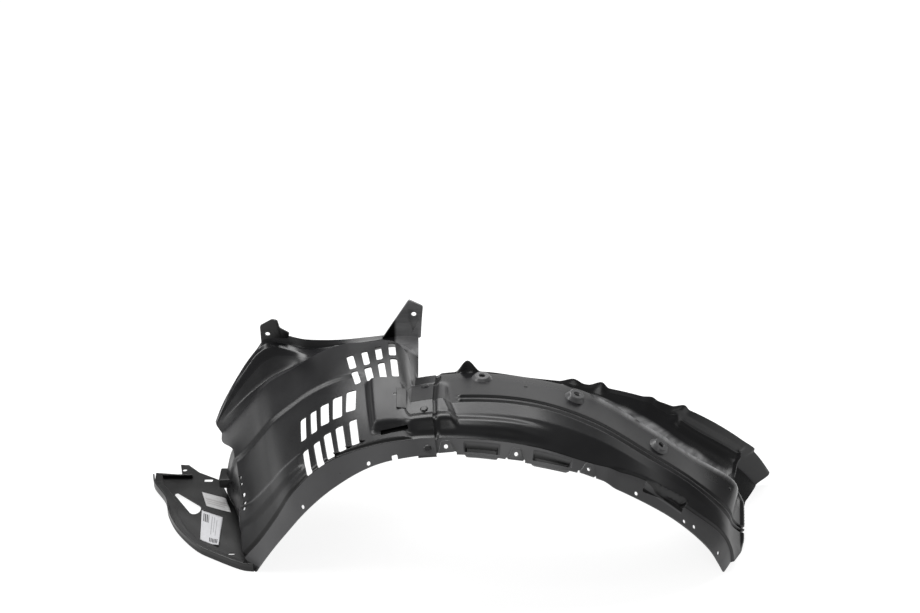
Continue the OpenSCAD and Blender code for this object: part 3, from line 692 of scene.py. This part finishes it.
def mouldedMaterial(name, gloss, lip, dents, shadeAndHighlightBox):
    # t and v are the rail places from the piece's own UV map; gloss and lip are ranges of v
    material, tree = newMaterial(name)
    place = addNode(tree, "ShaderNodeTexCoord").outputs["Object"]
    rails = addNode(tree, "ShaderNodeUVMap", {"uv_map": "railMap"})
    t, v = addNode(tree, "ShaderNodeSeparateXYZ", None, {0: rails.outputs[0]}).outputs[:2]
    xyz = addNode(tree, "ShaderNodeSeparateXYZ", None, {0: place}).outputs
    grain = addNode(tree, "ShaderNodeTexNoise", {"Scale": 1000 / mouldLook["grainMm"], "Detail": 2}, {"Vector": place})
    cloud = addNode(tree, "ShaderNodeTexNoise", {
        "Scale": mouldLook["cloudPerM"], "Detail": 5, "Roughness": 0.6}, {"Vector": place}).outputs["Fac"]
    stretch = addNode(tree, "ShaderNodeMapping", {"Scale": mouldLook["streakPerM"]}, {"Vector": place})
    streak = addNode(tree, "ShaderNodeTexNoise", {
        "Scale": 1, "Detail": 4, "Roughness": 0.7}, {"Vector": stretch.outputs[0]}).outputs["Fac"]
    tone = addNode(tree, "ShaderNodeMix", {
        "data_type": "RGBA", 6: hexColour(mouldLook["dark"]), 7: hexColour(mouldLook["light"])}, {0: cloud}).outputs[2]
    # layers of [area, colour]: the flange along the fender edge is a little paler, partly worn by packing
    # and partly a painted highlight, with painted shade along the crease behind it
    layers = [[areaWhere(tree, [(v, *lip, 0.02)], mouldLook["lipScuffAndSheen"]), "scuffAndSheen"],
              [areaWhere(tree, [(v, lip[1] + 0.02, lip[1] + 0.045, 0.012)]), "shade"]]
    for a, b, low, high in dents:
        # painted shade darkens the floors of the pockets, and a painted highlight lightens their lower edges
        along = (t, a + 0.004, b - 0.004, 0.002)
        layers.append([areaWhere(tree, [along, (v, low + 0.13, high - 0.1, 0.03)]), "shade"])
        layers.append([areaWhere(tree, [along, (v, low + 0.01, low + 0.07, 0.03)], mouldLook["ledgeHighlight"]), "scuffAndSheen"])
    if dents:
        # painted highlight in streaks on the wall of the long channel above the rear panel
        highlightStreaks = addNode(tree, "ShaderNodeMapRange", {"From Min": 0.35, "From Max": 0.65, "To Min": 0.25},
                        {"Value": streak})
        streakHighlight = areaWhere(tree, [(t, 0.42, 0.8, 0.06), (v, 4.05, 5.2, 0.25), (highlightStreaks.outputs[0],)])
        layers.append([streakHighlight, "streakHighlight"])
    matt = addNode(tree, "ShaderNodeMapRange", {
        "From Min": 0.3, "From Max": 0.7, "To Min": mouldLook["roughLow"], "To Max": mouldLook["roughHigh"]},
        {"Value": cloud})
    shiny = areaWhere(tree, [(v, *gloss, 0.15)])
    smear = addNode(tree, "ShaderNodeMapRange", {
        "From Min": 0.35, "From Max": 0.7, "To Min": mouldLook["glossRough"][0], "To Max": mouldLook["glossRough"][1]},
        {"Value": streak})
    rough = addNode(tree, "ShaderNodeMix", {"data_type": "FLOAT"},
                    {0: shiny, 2: matt.outputs[0], 3: smear.outputs[0]}).outputs[0]
    if shadeAndHighlightBox:
        # painted shade: the tray's outer part, low and forward, is darker
        outer = addNode(tree, "ShaderNodeMath", {"operation": "MULTIPLY_ADD", 1: 0.9}, {0: xyz[0], 2: xyz[1]})
        front = addNode(tree, "ShaderNodeMapRange", {
            "interpolation_type": "SMOOTHSTEP", "From Min": -0.45, "From Max": -0.41, "To Min": 1, "To Max": 0},
            {"Value": outer.outputs[0]})
        low = addNode(tree, "ShaderNodeMapRange", {
            "From Min": 0.008, "From Max": 0.01, "To Min": 0.75, "To Max": 0}, {"Value": xyz[2]})
        deep = areaWhere(tree, [(front.outputs[0],), (low.outputs[0],)])
        layers.append([deep, "trayShade"])
        rough = addNode(tree, "ShaderNodeMix", {"data_type": "FLOAT", 3: mouldLook["trayRough"]},
                        {0: deep, 2: rough}).outputs[0]
        # painted highlight in pale streaks on the face of the wall under the tall ear
        worn = addNode(tree, "ShaderNodeMapRange", {
            "From Min": 0.3, "From Max": 0.7, "To Min": 0.5, "To Max": 1}, {"Value": streak})
        box = [(xyz[k], shadeAndHighlightBox[0][k], shadeAndHighlightBox[1][k], soft) for k, soft in enumerate((0.006, 0.012, 0.012))]
        layers.append([areaWhere(tree, [(worn.outputs[0],)] + box), "scuffAndSheen"])
    for area, colour in layers:
        tone = addNode(tree, "ShaderNodeMix", {"data_type": "RGBA", 7: hexColour(mouldLook[colour])},
                       {0: area, 6: tone}).outputs[2]
    # the grain fades where the surface is polished
    relief = addNode(tree, "ShaderNodeMapRange", {"To Min": 0.22, "To Max": 0.015}, {"Value": shiny})
    bump = addNode(tree, "ShaderNodeBump", {"Distance": 0.0002},
                   {"Height": grain.outputs["Fac"], "Strength": relief.outputs[0]})
    skin = addNode(tree, "ShaderNodeBsdfPrincipled", {"IOR": 1.49, "Specular IOR Level": mouldLook["specular"]},
                   {"Base Color": tone, "Roughness": rough, "Normal": bump.outputs[0]})
    addNode(tree, "ShaderNodeOutputMaterial", None, {"Surface": skin.outputs[0]})
    return material


# box of the painted highlight on the wall under the tall ear, in metres
earWall = ((-0.105, 0.1, 0.2), (-0.066, 0.17, 0.31))
frontPlastic = mouldedMaterial("mouldedPolypropyleneFront", (2.7, 4.2), (-1, -0.02), [], earWall)
rearPlastic = mouldedMaterial("mouldedPolypropyleneRear", (3.9, 6.0), (0.001, 0.97), rearDents, None)
for piece, node, material, cadSlot in ((frontShell, "front_section", frontPlastic, "front_plastic"),
                                       (rearShell, "rear_section", rearPlastic, "rear_plastic")):
    piece.data.materials.clear()
    piece.data.materials.append(material)
    piece.data.shade_smooth()
    piece.data.set_sharp_from_angle(angle=math.radians(34))
    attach(piece, "root")
    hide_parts(node)

# coated label paper, white, or grey as painted shade on the parts label, on a map of its own from 0 to 1;
# its print is only bars and blocks, [x0, x1, y0, y1, bars or 0 for a pale line]
labelLook = {
    "parts_label": {
        "corners": [[-427, 203], [-386, 186], [-373, 147], [-415, 165]], "lift": 0.6, "slot": "label_grey",
        # the grey of this paper is painted shade
        "paper": "a9a7a5", "ink": "7d7775",
        "blocks": [[0.08, 0.92, 0.38, 0.48, 0], [0.08, 0.92, 0.55, 0.62, 0], [0.08, 0.8, 0.7, 0.76, 0]]},
    "shipping_label": {
        "corners": [[-421, 153], [-385, 135], [-383, 59], [-414, 77]], "lift": 3.0, "slot": "label_white",
        "paper": "dcdce0", "ink": "2b2b2d",
        "blocks": [[0.1, 0.36, 0.08, 0.34, 3], [0.45, 0.92, 0.82, 0.94, 6], [0.5, 0.53, 0.1, 0.7, 0],
                   [0.62, 0.64, 0.1, 0.6, 0], [0.74, 0.76, 0.16, 0.7, 0]]}}
# the paper's fibres are too fine to show, so they are drawn as clouds of about 4 mm on Object coordinates
paperLook = {"worn": "c8c8ca", "fibrePerM": 260, "rough": 0.45, "thick": 0.00015, "above": 2.65, "lineInk": 0.45}


def paperMaterial(name, look):
    material, tree = newMaterial(name)
    sheetPlace = addNode(tree, "ShaderNodeUVMap", {"uv_map": "sheetMap"})
    x, y = addNode(tree, "ShaderNodeSeparateXYZ", None, {0: sheetPlace.outputs[0]}).outputs[:2]
    place = addNode(tree, "ShaderNodeTexCoord")
    fibre = addNode(tree, "ShaderNodeTexNoise", {"Scale": paperLook["fibrePerM"], "Detail": 3},
                    {"Vector": place.outputs["Object"]})
    tone = addNode(tree, "ShaderNodeMix", {
        "data_type": "RGBA", 6: hexColour(look["paper"]), 7: hexColour(paperLook["worn"])},
        {0: fibre.outputs["Fac"]}).outputs[2]
    for x0, x1, y0, y1, bars in look["blocks"]:
        ranges = [(x, x0, x1, 0.012), (y, y0, y1, 0.012)]
        if bars:
            wave = addNode(tree, "ShaderNodeMath", {"operation": "MULTIPLY", 1: bars * math.tau / (x1 - x0)}, {0: x})
            wave = addNode(tree, "ShaderNodeMath", {"operation": "SINE"}, {0: wave.outputs[0]})
            wave = addNode(tree, "ShaderNodeMath", {"operation": "GREATER_THAN", 1: -0.45}, {0: wave.outputs[0]})
            ranges.append((wave.outputs[0],))
        block = areaWhere(tree, ranges, 1.0 if bars else paperLook["lineInk"])
        tone = addNode(tree, "ShaderNodeMix", {"data_type": "RGBA", 7: hexColour(look["ink"])},
                       {0: block, 6: tone}).outputs[2]
    skin = addNode(tree, "ShaderNodeBsdfPrincipled", {"IOR": 1.5, "Roughness": paperLook["rough"]}, {"Base Color": tone})
    addNode(tree, "ShaderNodeOutputMaterial", None, {"Surface": skin.outputs[0]})
    return material


for node, look in labelLook.items():
    # sheet between its four corners, one edge curling off the tray
    bm = bmesh.new()
    bmesh.ops.create_grid(bm, x_segments=16, y_segments=20, size=1)
    sheet = bm.loops.layers.uv.new("sheetMap")
    for face in bm.faces:
        for loop in face.loops:
            loop[sheet].uv = ((loop.vert.co.x + 1) / 2, (loop.vert.co.y + 1) / 2)
    c = [Vector((*k, 0)) for k in look["corners"]]
    for vert in bm.verts:
        x, y = (vert.co.x + 1) / 2, (vert.co.y + 1) / 2
        flat = (c[0] * (1 - x) + c[1] * x) * (1 - y) + (c[3] * (1 - x) + c[2] * x) * y
        curl = ramp(x, 0.6, 1) * ramp(y, 0.2, 0.6) + 0.25 * ramp(1 - x, 0.85, 1)
        vert.co = flat + Vector((0, 0, paperLook["above"] + look["lift"] * curl))
    bmesh.ops.recalc_face_normals(bm, faces=bm.faces)
    bmesh.ops.transform(bm, matrix=trayPlace, verts=bm.verts)
    label = pieceFrom(bm, node + "Sheet")
    thick = label.modifiers.new("paper", "SOLIDIFY")
    thick.thickness = paperLook["thick"]
    settle(label)
    label.data.materials.clear()
    label.data.materials.append(paperMaterial(node.replace("_l", "L") + "Paper", look))
    label.data.shade_smooth()
    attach(label, "root")
    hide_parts(node)


# moulded nylon rivets, a little glossier than the shells; their fine speckle is drawn at 2 mm on Object
# coordinates so that it shows
rivetLook = {"dark": "1a1a1b", "light": "2a2a2b", "specklePerM": 500, "rough": 0.38}


def rivetMaterial(name):
    material, tree = newMaterial(name)
    place = addNode(tree, "ShaderNodeTexCoord")
    fine = addNode(tree, "ShaderNodeTexNoise", {"Scale": rivetLook["specklePerM"], "Detail": 2},
                   {"Vector": place.outputs["Object"]})
    tone = addNode(tree, "ShaderNodeMix", {
        "data_type": "RGBA", 6: hexColour(rivetLook["dark"]), 7: hexColour(rivetLook["light"])}, {0: fine.outputs["Fac"]})
    skin = addNode(tree, "ShaderNodeBsdfPrincipled", {"IOR": 1.53, "Roughness": rivetLook["rough"]},
                   {"Base Color": tone.outputs[2]})
    addNode(tree, "ShaderNodeOutputMaterial", None, {"Surface": skin.outputs[0]})
    return material


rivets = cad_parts["seam_rivets"]
rivets.data.materials.clear()
rivets.data.materials.append(rivetMaterial("mouldedNylonRivet"))
print("finishes given")
